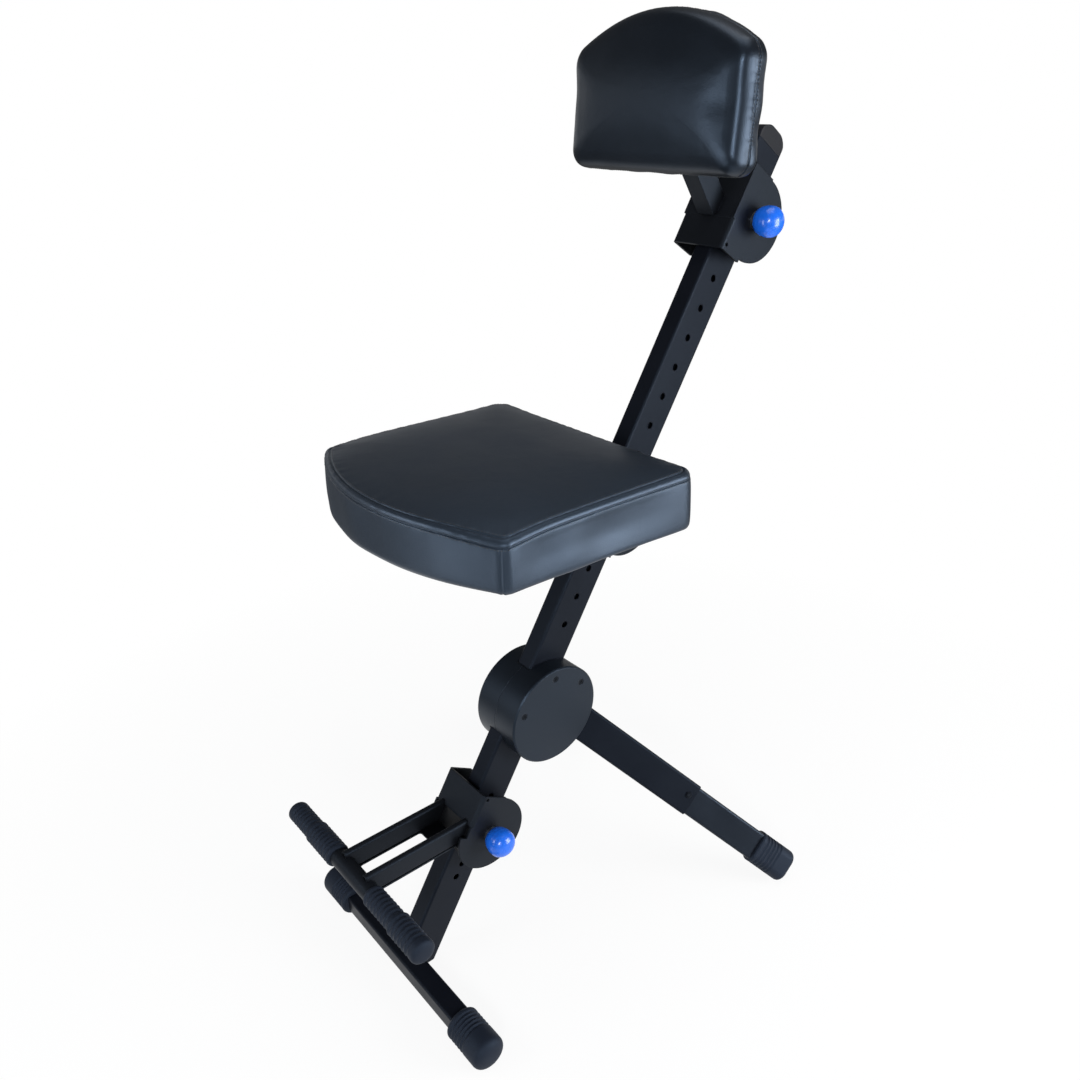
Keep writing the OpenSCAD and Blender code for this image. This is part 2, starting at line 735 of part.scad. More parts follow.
// Closed cushion from rings of [inset, height, pull], from its flat back to its crown
module cushion(rings, w, rear, side, bow, rr, rf, top) {
    n = len(pad_ring(0, 0, w, rear, side, bow, rr, rf));
    m = len(rings);
    mid = rear - (side + bow) / 2;
    pts = concat(
        [for (k = rings) for (p = pad_ring(k[0], k[2], w, rear, side, bow, rr, rf)) [p[0], p[1], k[1]]],
        [[0, mid, rings[0][1]], [0, mid, top]]);
    walls = [for (k = [0 : m - 2], i = [0 : n - 1], q = [0, 1])
        let (a = k * n + i, b = k * n + (i + 1) % n)
            q == 0 ? [a, b + n, b] : [a, a + n, b + n]];
    caps = concat([for (i = [0 : n - 1]) [m * n, i, (i + 1) % n]],
        [for (i = [0 : n - 1]) let (t = (m - 1) * n) [m * n + 1, t + (i + 1) % n, t + i]]);
    polyhedron(points = pts, faces = concat(walls, caps), convexity = 4);
}

module seat_cushion() {
    h = seat_h;
    color("#222a30") difference() {
        translate([0, 0, seat_z]) cushion([
            [8, 0, 0], [2.5, 2, 1], [1.2, 12, 2.5], [2.2, 30, 5], [1.4, h - 18, 3], [0.8, h - 11, 1.5],
            [2.8, h - 8.2, 1.5], [0.8, h - 6.5, 1], [3.2, h - 2.2, 1], [8.2, h + 0.6, 1], [9.6, h - 0.1, 1],
            [11.5, h + 1.6, 1], [38, h + seat_crown * 0.6, 0], [80, h + seat_crown * 0.9, 0]
        ], seat_w, seat_rear, seat_side, seat_bow, seat_rear_r, seat_front_r, h + seat_crown);
        translate([0, 0, seat_z - 1]) linear_extrude(seat_board_t + 1 + seat_gap)
            polygon(pad_ring(board_inset - seat_gap, 0, seat_w, seat_rear, seat_side, seat_bow,
                seat_rear_r, seat_front_r));
    }
}

// Backrest: a bent channel from the collar to a board, and the arched cushion on it

back_y = column_foot_y + back_s * sin(column_lean) - back_reach;
back_z = back_s * cos(column_lean) + back_rise;
bracket_w = 28;
bracket_t = 4;
back_board_t = 7;

// Seen from the side, with y and z from the index pin: the arm's lower front corner, its throat on
// the collar, and its two ends behind the cushion
module bracket_arm() {
    polygon([[-54.5, 8], [-26.9, 22.9], [-back_reach - 6, 184.7], [-back_reach - 6, 131]]);
}

// A channel open to the rear, closed by one plate on the board and one between the collar's sides
module backrest_bracket() {
    inner = collar_w - 2 * collar_t;
    color("#1c1d20") union() {
        difference() {
            translate([0, back_y + back_reach, back_z - back_rise]) difference() {
                side_extrude(-bracket_w / 2, bracket_w) bracket_arm();
                side_extrude(-bracket_w / 2 + bracket_t, bracket_w - 2 * bracket_t)
                    translate([1, 5.6]) bracket_arm();
            }
            on_back() translate([-100, -400, -back_board_t - bracket_t / 2]) cube([200, 800, 300]);
            on_column(back_s) translate([-100, -collar_front + 1, -200]) cube([200, 400, 400]);
            on_column(back_s) translate([-100, -collar_front, -200]) cube([200, 400, 200 - back_plate_low]);
        }
        difference() {
            on_back() translate([-bracket_w / 2 - 16, -120, -back_board_t - bracket_t])
                cube([bracket_w + 32, 92, bracket_t]);
            back_screw_places() cylinder(r = screw_r + 0.4, h = 40, center = true);
        }
        on_column(back_s) translate([-inner / 2, -collar_front, -back_plate_low + seat_gap])
            cube([inner, collar_t - seat_gap, 70]);
    }
}

module back_screw_places() {
    on_back() for (sx = [-1, 1], v = [-40, -108])
        translate([sx * (bracket_w / 2 + 8), v, -back_board_t - bracket_t]) children();
}

module backrest_screws() {
    color("#8d9094") back_screw_places() {
        cylinder(r = screw_r, h = bracket_t + 6);
        translate([0, 0, -3]) cylinder(r = 5.5, h = 3);
    }
}

// Cushion frame of the backrest: the bowed edge points up and the thickness runs forward
module on_back() {
    translate([0, back_y, back_z]) rotate([90 - back_lean, 0, 0]) mirror([0, 1, 0]) children();
}

module backrest_board() {
    color("#3a2f24") difference() {
        on_back() translate([0, 0, -back_board_t]) linear_extrude(back_board_t - weld)
            polygon(pad_ring(board_inset, 0, back_w, 0, back_h - back_bow, back_bow,
                back_low_r, back_top_r));
        back_screw_places() cylinder(r = screw_r + 0.1, h = bracket_t + 6.4);
    }
}

module backrest_cushion() {
    t = back_t;
    color("#1a1d21") on_back() cushion([
        [10, 0, 0], [3, 3, 0], [0.4, 12, 0], [2, 17, 0], [0.2, 19.5, 0], [1, t - 18, 0], [5, t - 8, 0],
        [11, t - 3, 0], [20, t, 0], [38, t + 3, 0], [58, t + 5, 0]
    ], back_w, 0, back_h - back_bow, back_bow, back_low_r, back_top_r, t + 6);
}

column();
column_top_cap();
front_crossbar();
crossbar_boot(1);  // crossbar_boot_left
crossbar_boot(-1);  // crossbar_boot_right
pivot_plate(1);  // pivot_plate_left
pivot_plate(-1);  // pivot_plate_right
pivot_stud(1);  // pivot_stud_left
pivot_stud(-1);  // pivot_stud_right
hub_cover(1);  // hub_cover_left
hub_cover(-1);  // hub_cover_right
hub_cover_screws();
leg_yoke();
rear_leg(1);  // rear_leg_left
rear_leg(-1);  // rear_leg_right
leg_extension(1);  // leg_extension_left
leg_extension(-1);  // leg_extension_right
leg_boot(1);  // leg_boot_left
leg_boot(-1);  // leg_boot_right
leg_plunger(1);  // leg_plunger_left
leg_plunger(-1);  // leg_plunger_right
color("#1c1d20") on_column(rest_s) collar(1, rest_plate_low);  // footrest_collar
on_column(rest_s) glide();  // footrest_glide
footrest_yoke();
footrest_rail(1);  // footrest_rail_left
footrest_rail(-1);  // footrest_rail_right
footrest_bar();
footrest_grip(1);  // footrest_grip_left
footrest_grip(-1);  // footrest_grip_right
on_column(rest_s) barrel();  // footrest_barrel
on_column(rest_s) index_pin();  // footrest_pin
on_column(rest_s) pin_spring();  // footrest_spring
on_column(rest_s) knob();  // footrest_knob
color("#1c1d20") on_column(seat_s) collar(-1, seat_plate_low);  // seat_collar
on_column(seat_s) glide();  // seat_glide
seat_yoke();
rail(1, arm_z, arm_front, seat_s, 300);  // seat_arm_left
rail(-1, arm_z, arm_front, seat_s, 300);  // seat_arm_right
seat_plate();
seat_board();
seat_cushion();
seat_screws();
on_column(seat_s) barrel();  // seat_barrel
on_column(seat_s) index_pin();  // seat_pin
on_column(seat_s) pin_spring();  // seat_spring
on_column(seat_s) knob();  // seat_knob
color("#1c1d20") on_column(back_s) collar(0, back_plate_low);  // backrest_collar
on_column(back_s) glide();  // backrest_glide
backrest_bracket();
backrest_board();
backrest_cushion();
backrest_screws();
on_column(back_s) barrel();  // backrest_barrel
on_column(back_s) index_pin();  // backrest_pin
on_column(back_s) pin_spring();  // backrest_spring
on_column(back_s) knob();  // backrest_knob
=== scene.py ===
"""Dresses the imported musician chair: coated steel, ribbed rubber, blue pull knobs, sewn vinyl pads."""
import math

import bpy
import mathutils
import numpy as np
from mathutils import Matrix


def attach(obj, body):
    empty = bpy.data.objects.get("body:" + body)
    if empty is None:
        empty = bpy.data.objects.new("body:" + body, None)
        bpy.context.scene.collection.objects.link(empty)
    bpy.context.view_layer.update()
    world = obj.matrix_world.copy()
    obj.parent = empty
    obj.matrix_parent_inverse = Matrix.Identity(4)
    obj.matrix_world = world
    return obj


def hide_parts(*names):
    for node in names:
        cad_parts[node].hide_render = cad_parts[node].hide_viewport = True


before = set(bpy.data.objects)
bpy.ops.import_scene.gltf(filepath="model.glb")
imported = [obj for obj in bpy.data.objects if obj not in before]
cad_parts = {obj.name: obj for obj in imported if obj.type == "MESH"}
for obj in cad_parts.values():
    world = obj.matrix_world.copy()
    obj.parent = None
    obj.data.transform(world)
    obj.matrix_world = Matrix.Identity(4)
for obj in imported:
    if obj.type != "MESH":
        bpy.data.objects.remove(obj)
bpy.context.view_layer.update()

# The camera.
# It stands where the photographer stood: to the sitter's left and in front, a little above the
# backrest, with the frame slid a little sideways and down as a crop of the photograph does. The focal
# length and the lens's centre are in pixels of the square photograph.
picture, focal, centre_x, centre_y = 1080.0, 902.0, 581.7, 576.1
azimuth, elevation = 48.43, 27.40
camera_data = bpy.data.cameras.new("camera")
camera_data.sensor_width = 36.0
camera_data.lens = 36.0 * focal / picture
camera_data.shift_x = (picture / 2 - centre_x) / picture
camera_data.shift_y = (centre_y - picture / 2) / picture
camera_data.clip_end = 100.0
camera = bpy.data.objects.new("camera", camera_data)
camera.location = (0.8840, -0.7499, 1.1617)
camera.rotation_euler = (math.radians(90.0 - elevation), 0.0, math.radians(azimuth))
bpy.context.scene.collection.objects.link(camera)
bpy.context.scene.camera = camera
bpy.context.scene.view_settings.view_transform = "Standard"


# The room.
# A white paper sweep, which the eye sees as plain white with a faint shadow, in a room that is dim in
# reflections. The main softbox stands low on the right and behind, one hangs overhead, and three small
# ones, two in front and one over the camera, lay the soft streaks on the vinyl and the tube edges.
def linear(hex_colour, share=1.0):
    """An sRGB hex colour as linear light: the low part is divided by 12.92, the rest is a 2.4 power.
    A share under or over 1 darkens or lightens it."""
    srgb = np.array([int(hex_colour[i:i + 2], 16) for i in (1, 3, 5)]) / 255.0
    light = np.where(srgb <= 0.04045, srgb / 12.92, ((srgb + 0.055) / 1.055) ** 2.4) * share
    return (*light.tolist(), 1.0)


def add(tree, kind, settings, links=()):
    """Adds one node. Settings by name go to its properties or inputs; links are (input, output)
    pairs."""
    node = tree.nodes.new(kind)
    for name, value in settings.items():
        if isinstance(name, str) and hasattr(node, name) and name not in node.inputs:
            setattr(node, name, value)
        else:
            node.inputs[name].default_value = value
    for name, socket in links:
        tree.links.new(node.inputs[name], socket)
    return node


def sight(tree):
    """Gives 1 for a ray from the camera, and 1 for a ray that shows something in any way: from the
    camera, in a reflection or through glass."""
    ray = add(tree, "ShaderNodeLightPath", {})
    plain = ray.outputs["Is Camera Ray"]
    mirrored = add(tree, "ShaderNodeMath", {"operation": "MAXIMUM"},
                   [(0, plain), (1, ray.outputs["Is Glossy Ray"])])
    shown = add(tree, "ShaderNodeMath", {"operation": "MAXIMUM"},
                [(0, mirrored.outputs[0]), (1, ray.outputs["Is Transmission Ray"])])
    return plain, shown.outputs[0]


def blank_material(name):
    """A new material, its node tree cleared, and the object's own coordinates in that tree."""
    material = bpy.data.materials.new(name)
    material.use_nodes = True
    tree = material.node_tree
    tree.nodes.clear()
    return material, tree, add(tree, "ShaderNodeTexCoord", {}).outputs["Object"]


world = bpy.data.worlds.new("white_room")
world.use_nodes = True
room = world.node_tree
room.nodes.clear()
room_plain, room_shown = sight(room)
fill = add(room, "ShaderNodeBackground", {"Color": linear("#e8ecf2"), "Strength": 0.24})
sky = add(room, "ShaderNodeTexCoord", {})
height = add(room, "ShaderNodeSeparateXYZ", {}, [(0, sky.outputs["Generated"])])
dimmed = add(room, "ShaderNodeMapRange", {"From Min": 0.10, "From Max": 0.16, "To Min": 1.0,
                                          "To Max": 0.13}, [("Value", height.outputs["Z"])])
behind = add(room, "ShaderNodeMath", {"operation": "MAXIMUM"},
             [(0, room_plain), (1, dimmed.outputs[0])])
white = add(room, "ShaderNodeBackground", {"Color": (1.0, 1.0, 1.0, 1.0)},
            [("Strength", behind.outputs[0])])
both = add(room, "ShaderNodeMixShader", {},
           [(0, room_shown), (1, fill.outputs[0]), (2, white.outputs[0])])
add(room, "ShaderNodeOutputWorld", {}, [("Surface", both.outputs[0])])
bpy.context.scene.world = world


def softbox(name, place, aim, width, height, watts):
    """A flat lamp of that width and height at place, facing aim."""
    data = bpy.data.lights.new(name, "AREA")
    data.shape = "RECTANGLE"
    data.size, data.size_y, data.energy = width, height, watts
    lamp = bpy.data.objects.new(name, data)
    lamp.location = place
    way = np.array(aim, float) - np.array(place, float)
    lamp.rotation_euler = (math.acos(-way[2] / np.linalg.norm(way)), 0.0,
                           math.atan2(way[1], way[0]) - math.pi / 2)
    bpy.context.scene.collection.objects.link(lamp)


softbox("overhead", (0.2, 0.3, 3.0), aim=(0.0, 0.0, 0.5), width=1.8, height=1.8, watts=20.0)
softbox("front_panel", (-0.42, -1.38, 0.98), aim=(0.1, 0.1, 1.14), width=0.6, height=0.6, watts=7.0)
softbox("low_front", (0.02, -1.45, 0.30), aim=(0.1, -0.25, 0.74), width=0.6, height=0.3, watts=3.0)
softbox("near_camera", (2.2, -1.8, 1.6), aim=(0.0, 0.0, 0.7), width=0.5, height=0.6, watts=40.0)
softbox("right_side", (2.0, 1.15, 0.80), aim=(0.0, -0.05, 0.65), width=1.1, height=1.4, watts=56.0)

paper, sheet, sheet_place = blank_material("white_paper")
sheet_plain, sheet_shown = sight(sheet)
matt_paper = add(sheet, "ShaderNodeBsdfDiffuse", {"Color": linear("#f4f5f6")})
# A reflection shows the sheet white up to 0.9 m from the chair, and dimmer past the lamps' reach.
away = add(sheet, "ShaderNodeVectorMath", {"operation": "LENGTH"}, [(0, sheet_place)])
dimmer = add(sheet, "ShaderNodeMapRange", {"From Min": 0.9, "From Max": 1.6, "To Min": 1.0,
                                           "To Max": 0.15}, [("Value", away.outputs["Value"])])
level = add(sheet, "ShaderNodeMath", {"operation": "MAXIMUM"},
            [(0, sheet_plain), (1, dimmer.outputs[0])])
glow = add(sheet, "ShaderNodeEmission", {"Color": (1.0, 1.0, 1.0, 1.0)},
           [("Strength", level.outputs[0])])
# Near the chair the sheet keeps a little of its shadow; from 1.3 m on it is plain white.
clear = add(sheet, "ShaderNodeMapRange", {"From Min": 0.45, "From Max": 1.3, "To Min": 0.90,
                                          "To Max": 1.0}, [("Value", away.outputs["Value"])])
bright = add(sheet, "ShaderNodeMath", {"operation": "MULTIPLY"},
             [(0, sheet_shown), (1, clear.outputs[0])])
lifted = add(sheet, "ShaderNodeMixShader", {},
             [(0, bright.outputs[0]), (1, matt_paper.outputs[0]), (2, glow.outputs[0])])
add(sheet, "ShaderNodeOutputMaterial", {}, [("Surface", lifted.outputs[0])])
sweep_mesh = bpy.data.meshes.new("paper_sweep")
half = 40.0
sweep_mesh.from_pydata([(-half, -half, 0), (half, -half, 0), (half, half, 0), (-half, half, 0)], [],
                       [(0, 1, 2, 3)])
sweep_mesh.materials.append(paper)
sweep = bpy.data.objects.new("paper_sweep", sweep_mesh)
bpy.context.scene.collection.objects.link(sweep)


# The column, crossbar and rear legs.
# Welded steel tube under black polyester powder, sprayed dry and baked at 200 degrees, so the skin
# has a fine orange peel. The moving extensions are coated thinner and smoother, as they must slide.
def coat(material, *names):
    """Gives CAD nodes a finish in place of the plain one they come with."""
    for name in names:
        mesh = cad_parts[name].data
        mesh.materials.clear()
        mesh.materials.append(material)


def powder_coat(name, colour, peel_mm, depth, roughness, gloss):
    """Baked powder: lumps peel_mm across lift the skin, and a slower drift varies its gloss."""
    material, tree, place = blank_material(name)
    peel = add(tree, "ShaderNodeTexNoise", {"Scale": 1000.0 / peel_mm, "Detail": 3.0},
               [("Vector", place)])
    drift = add(tree, "ShaderNodeTexNoise", {"Scale": 14.0, "Detail": 2.0}, [("Vector", place)])
    sheen_range = add(tree, "ShaderNodeMapRange",
                      {"From Min": 0.3, "From Max": 0.7, "To Min": roughness - 0.05,
                       "To Max": roughness + 0.07}, [("Value", drift.outputs["Fac"])])
    tint = add(tree, "ShaderNodeMix",
               {"data_type": "RGBA", 6: linear(colour, 0.85), 7: linear(colour, 1.2)},
               [(0, drift.outputs["Fac"])])
    rounded = add(tree, "ShaderNodeBevel", {"samples": 4, "Radius": 0.0018})
    lift = add(tree, "ShaderNodeBump", {"Strength": 0.35, "Distance": depth},
               [("Height", peel.outputs["Fac"]), ("Normal", rounded.outputs[0])])
    skin = add(tree, "ShaderNodeBsdfPrincipled",
               {"IOR": 1.5, "Specular IOR Level": gloss, "Specular Tint": linear("#bcdaff")},
               [("Base Color", tint.outputs[2]), ("Roughness", sheen_range.outputs[0]),
                ("Normal", lift.outputs[0])])
    add(tree, "ShaderNodeOutputMaterial", {}, [("Surface", skin.outputs[0])])
    return material


# Lumps of 1.6 mm and more are about twice the real size, so that they show at a step away.
black_powder = powder_coat("black_powder_coat", "#0f1013", peel_mm=1.6, depth=0.00010,
                           roughness=0.46, gloss=0.22)
tube_powder = powder_coat("black_tube_coat", "#0e1016", peel_mm=1.6, depth=0.00008,
                          roughness=0.42, gloss=0.14)
smooth_black = powder_coat("extension_steel", "#101217", peel_mm=2.4, depth=0.00004,
                           roughness=0.36, gloss=0.26)
coat(tube_powder, "column", "front_crossbar", "rear_leg_left", "rear_leg_right")
coat(black_powder, "leg_yoke", "pivot_plate_left", "pivot_plate_right", "footrest_collar",
     "footrest_yoke", "footrest_rail_left", "footrest_rail_right", "footrest_bar", "seat_collar",
     "seat_yoke", "seat_arm_left", "seat_arm_right", "seat_plate", "backrest_collar",
     "backrest_bracket")
coat(smooth_black, "leg_extension_left", "leg_extension_right")

# The rubber boots on the crossbar, and the grips on the footrest bar.
# Soft black rubber moulded over a core and pushed on: rings stand up near the mouth so that the
# wall can stretch over the tube, and the far end is a plain dome.
def ringed(along, radius, first, count, pitch, depth):
    """The radius along a turned rubber piece less its grooves: past first, count flattened cosines of
    that pitch and depth."""
    turn = (along - first) / pitch
    groove = (0.5 - 0.5 * np.cos(2 * np.pi * turn)) ** 0.8
    return radius - depth * groove * ((turn > 0) & (turn < count))


def ends(length, mouth, dome, steps):
    """Places along a piece, closer together on its dome, and the share of the radius there: a rolled
    edge at the mouth, and a quarter of a rounded square that closes the far end."""
    straight = np.linspace(0.0, length - dome, steps)[:-1]
    swing = np.sin(np.linspace(0.0, 0.492 * np.pi, 17))
    along = np.concatenate([straight, length - dome * (1.0 - swing)])
    share = np.ones(len(along))
    share[steps - 1:] = (1.0 - swing ** 2.6) ** (1 / 2.6)
    return along, share - mouth * np.clip(1.0 - along / 0.004, 0.0, 1.0) ** 2


def swept_skin(name, rows):
    """A closed skin from rings of points: neighbours on a ring and on the next ring share a quad,
    and the first and last rings close on their middles."""
    count, around = rows.shape[:2]
    points = np.vstack([rows.reshape(-1, 3), rows[0].mean(0), rows[-1].mean(0)])
    i = np.arange(count - 1)[:, None] * around
    j, k = np.arange(around)[None, :], (np.arange(around)[None, :] + 1) % around
    quads = np.stack([i + j, i + k, i + around + k, i + around + j], -1).reshape(-1, 4)
    first, last = count * around, (count - 1) * around
    pole = 0 * j
    start_fan = np.stack([first + pole, k, j], -1).reshape(-1, 3)
    end_fan = np.stack([first + 1 + pole, last + j, last + k], -1).reshape(-1, 3)
    faces = quads.tolist() + start_fan.tolist() + end_fan.tolist()
    mesh = bpy.data.meshes.new(name)
    mesh.from_pydata(points.tolist(), [], faces)
    mesh.polygons.foreach_set("use_smooth", np.ones(len(faces), bool))
    mesh.update()
    piece = bpy.data.objects.new(name, mesh)
    bpy.context.scene.collection.objects.link(piece)
    return piece


def moulded_rubber(name, colour, pore_mm):
    """Rubber from a spark-eroded mould: fine pores pore_mm apart and a dusty, uneven sheen."""
    material, tree, place = blank_material(name)
    pores = add(tree, "ShaderNodeTexNoise", {"Scale": 1000.0 / pore_mm, "Detail": 4.0},
                [("Vector", place)])
    dust = add(tree, "ShaderNodeTexNoise", {"Scale": 35.0, "Detail": 3.0}, [("Vector", place)])
    tint = add(tree, "ShaderNodeMix",
               {"data_type": "RGBA", 6: linear(colour), 7: linear(colour, 1.7)},
               [(0, dust.outputs["Fac"])])
    rough = add(tree, "ShaderNodeMapRange", {"To Min": 0.55, "To Max": 0.74},
                [("Value", dust.outputs["Fac"])])
    lift = add(tree, "ShaderNodeBump", {"Strength": 0.4, "Distance": 0.0001},
               [("Height", pores.outputs["Fac"])])
    skin = add(tree, "ShaderNodeBsdfPrincipled",
               {"IOR": 1.52, "Specular IOR Level": 0.3, "Specular Tint": linear("#bcdaff")},
               [("Base Color", tint.outputs[2]), ("Roughness", rough.outputs[0]),
                ("Normal", lift.outputs[0])])
    add(tree, "ShaderNodeOutputMaterial", {}, [("Surface", skin.outputs[0])])
    return material


black_rubber = moulded_rubber("black_rubber", "#10131b", pore_mm=1.5)
around = 96
angles = np.linspace(0.0, 2 * np.pi, around, endpoint=False)
# The foot of the column's axis and its lean, then the middles of the crossbar and of the footrest bar,
# and how far out the boots and the grips start.
foot_y, lean = -0.316, math.radians(31.7)
crossbar_y, crossbar_z, boot_mouth = foot_y - 0.0058, 0.0245, 0.146
rest_y, rest_z, grip_mouth = foot_y - 0.064, 0.231, 0.047


def turned_rubber(name, side, mouth_x, along, r, middle_y, middle_z, node, body):
    """A turned piece across the chair: circles of radius r about (middle_y, middle_z), cut flat at
    z = 0."""
    x = side * (mouth_x + along)
    rows = np.stack([np.broadcast_to(x[:, None], (len(x), around)),
                     middle_y + r[:, None] * np.cos(side * angles),
                     np.maximum(middle_z + r[:, None] * np.sin(side * angles), 0.0)], -1)
    piece = swept_skin(name, rows)
    piece.data.materials.append(black_rubber)
    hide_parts(node)
    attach(piece, body)


for side, hand in ((1, "left"), (-1, "right")):
    along, share = ends(length=0.074, mouth=0.10, dome=0.014, steps=121)
    turned_rubber("crossbar_boot_" + hand + "_rubber", side, boot_mouth, along,
                  share * ringed(along, 0.0250, first=0.0068, count=5, pitch=0.0064, depth=0.0017),
                  crossbar_y, crossbar_z, "crossbar_boot_" + hand, "frame")
    # The left half of each grip is the thick one, so on the right grip the thick half comes first.
    along, share = ends(length=0.128, mouth=0.08, dome=0.008, steps=241)
    halfway = np.clip((along - 0.0632) / 0.0016, 0.0, 1.0)
    inner, outer = (0.0156, 0.0174) if side > 0 else (0.0174, 0.0156)
    round_it = inner + (outer - inner) * (3 * halfway ** 2 - 2 * halfway ** 3)
    grooves = (ringed(along, 0.0, first=0.0045, count=7, pitch=0.008, depth=0.0014)
               + ringed(along, 0.0, first=0.0665, count=6, pitch=0.008, depth=0.0014))
    turned_rubber("footrest_grip_" + hand + "_rubber", side, grip_mouth, along,
                  share * (round_it + grooves), rest_y, rest_z, "footrest_grip_" + hand, "footrest")


# The boots on the rear legs.
# The same rubber on an oblong tube: the rings follow the oblong, and the sole is ground flat where
# it meets the floor. From the foot of the column the numbers go up and back to the hub, then out along
# a leg that drops by 49.6 degrees and splays by 32.
hub_up, hub_behind = 0.448, 0.028
hub_y = foot_y + hub_up * math.sin(lean) + hub_behind * math.cos(lean)
hub_z = hub_up * math.cos(lean) - hub_behind * math.sin(lean)
half_hub, cover_wall, play, half_leg = 0.044, 0.0035, 0.0004, 0.015
hub_r, yoke_r, leg_rise = 0.078, 0.057, 0.0152
leg_length, inside_leg, extension_length = 0.262, 0.140, 0.357
boot_length, past_end, boot_half_deep, boot_half_wide = 0.077, 0.008, 0.0275, 0.0185
drop, splay = math.radians(49.6), math.radians(32.0)
down_leg = np.array([0.0, math.cos(drop), -math.sin(drop)])
off_leg = np.array([0.0, math.sin(drop), math.cos(drop)])


def oblong(depth, width, corner):
    """A rounded oblong: a quarter of its points lies on each corner's arc, and straight flats join
    the arcs."""
    turn = np.arange(around) * 2 * np.pi / around
    quarter = np.floor(turn / (np.pi / 2)) * np.pi / 2 + np.pi / 4
    cx = (depth / 2 - corner) * np.sign(np.cos(quarter))
    cy = (width / 2 - corner) * np.sign(np.sin(quarter))
    return cx + corner * np.cos(turn), cy + corner * np.sin(turn)


for side, hand in ((1, "left"), (-1, "right")):
    axis_x = (half_hub - cover_wall - play - half_leg / math.cos(splay)
              + (yoke_r - hub_r) * math.tan(splay))
    root = np.array([side * axis_x, hub_y, hub_z]) + off_leg * leg_rise + down_leg * yoke_r
    run = np.array([side * math.sin(splay), 0.0, 0.0]) + down_leg * math.cos(splay)
    across = np.array([side * math.cos(splay), 0.0, 0.0]) - down_leg * math.sin(splay)
    along, share = ends(boot_length, mouth=0.08, dome=0.013, steps=133)
    lost = boot_half_deep - share * ringed(along, boot_half_deep, first=0.0062, count=5, pitch=0.0072,
                                           depth=0.0016)
    u, v = oblong(2 * boot_half_deep, 2 * boot_half_wide, corner=0.016)
    scale_u = np.clip(1.0 - lost / boot_half_deep, 0.0, 1.0)
    scale_v = np.clip(1.0 - lost / boot_half_wide, 0.0, 1.0) ** 0.5 * scale_u ** 0.5
    start = leg_length - inside_leg + extension_length - boot_length + past_end
    leg_rows = (root + run * (start + along)[:, None, None]
                + off_leg * (scale_u[:, None] * u)[..., None]
                + across * (scale_v[:, None] * v * side)[..., None])
    leg_rows[..., 2] = np.maximum(leg_rows[..., 2], 0.0)
    leg_boot = swept_skin("leg_boot_" + hand + "_rubber", leg_rows)
    leg_boot.data.materials.append(black_rubber)
    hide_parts("leg_boot_" + hand)
    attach(leg_boot, hand + "_leg_extension")


# The hub.
# Two pressed steel covers, coated like the tubes but smoother, with cross-headed screws sunk in
# their faces and a stud behind. The discs are bare: no lettering is put on them.
hub_black = powder_coat("hub_cover_coat", "#12161c", peel_mm=3.0, depth=0.00003, roughness=0.38,
                        gloss=0.34)
coat(hub_black, "hub_cover_left", "hub_cover_right")


def plated_steel(name, colour, roughness):
    """Zinc or black oxide on steel: a metal whose gloss drifts in small clouds."""
    material, tree, place = blank_material(name)
    cloud = add(tree, "ShaderNodeTexNoise", {"Scale": 260.0, "Detail": 4.0}, [("Vector", place)])
    rough = add(tree, "ShaderNodeMapRange", {"To Min": roughness - 0.08, "To Max": roughness + 0.1},
                [("Value", cloud.outputs["Fac"])])
    skin = add(tree, "ShaderNodeBsdfPrincipled", {"Base Color": linear(colour), "Metallic": 1.0},
               [("Roughness", rough.outputs[0])])
    add(tree, "ShaderNodeOutputMaterial", {}, [("Surface", skin.outputs[0])])
    return material


zinc_plate = plated_steel("zinc_steel", "#b4b8bd", roughness=0.34)
black_oxide = plated_steel("black_screw", "#1f2329", roughness=0.42)
coat(black_oxide, "hub_cover_screws", "leg_plunger_left", "leg_plunger_right")
coat(zinc_plate, "pivot_stud_left", "pivot_stud_right",
     "footrest_barrel", "footrest_pin", "footrest_spring", "seat_barrel", "seat_pin",
     "seat_spring", "backrest_barrel", "backrest_pin", "backrest_spring", "seat_screws",
     "backrest_screws")


# The glides and the cap.
# Injection moulded nylon, black through, with the faint haze of a matt mould.
def moulded_plastic(name, colour, haze_mm, roughness, spread, gloss):
    """Nylon or polypropylene from the mould: haze haze_mm across in the gloss, and a shallow grain."""
    material, tree, place = blank_material(name)
    haze = add(tree, "ShaderNodeTexNoise", {"Scale": 1000.0 / haze_mm, "Detail": 5.0},
               [("Vector", place)])
    rough = add(tree, "ShaderNodeMapRange",
                {"To Min": roughness - spread, "To Max": roughness + spread},
                [("Value", haze.outputs["Fac"])])
    lift = add(tree, "ShaderNodeBump", {"Strength": 0.2, "Distance": 0.00005},
               [("Height", haze.outputs["Fac"])])
    skin = add(tree, "ShaderNodeBsdfPrincipled",
               {"Base Color": linear(colour), "IOR": 1.53, "Specular IOR Level": gloss},
               [("Roughness", rough.outputs[0]), ("Normal", lift.outputs[0])])
    add(tree, "ShaderNodeOutputMaterial", {}, [("Surface", skin.outputs[0])])
    return material


black_nylon = moulded_plastic("glide_nylon", "#0e1014", haze_mm=6.0, roughness=0.48, spread=0.06,
                              gloss=0.3)
cap_plastic = moulded_plastic("cap_plastic", "#080c15", haze_mm=8.0, roughness=0.42, spread=0.05,
                              gloss=0.20)
coat(black_nylon, "footrest_glide", "seat_glide", "backrest_glide")
coat(cap_plastic, "column_top_cap")


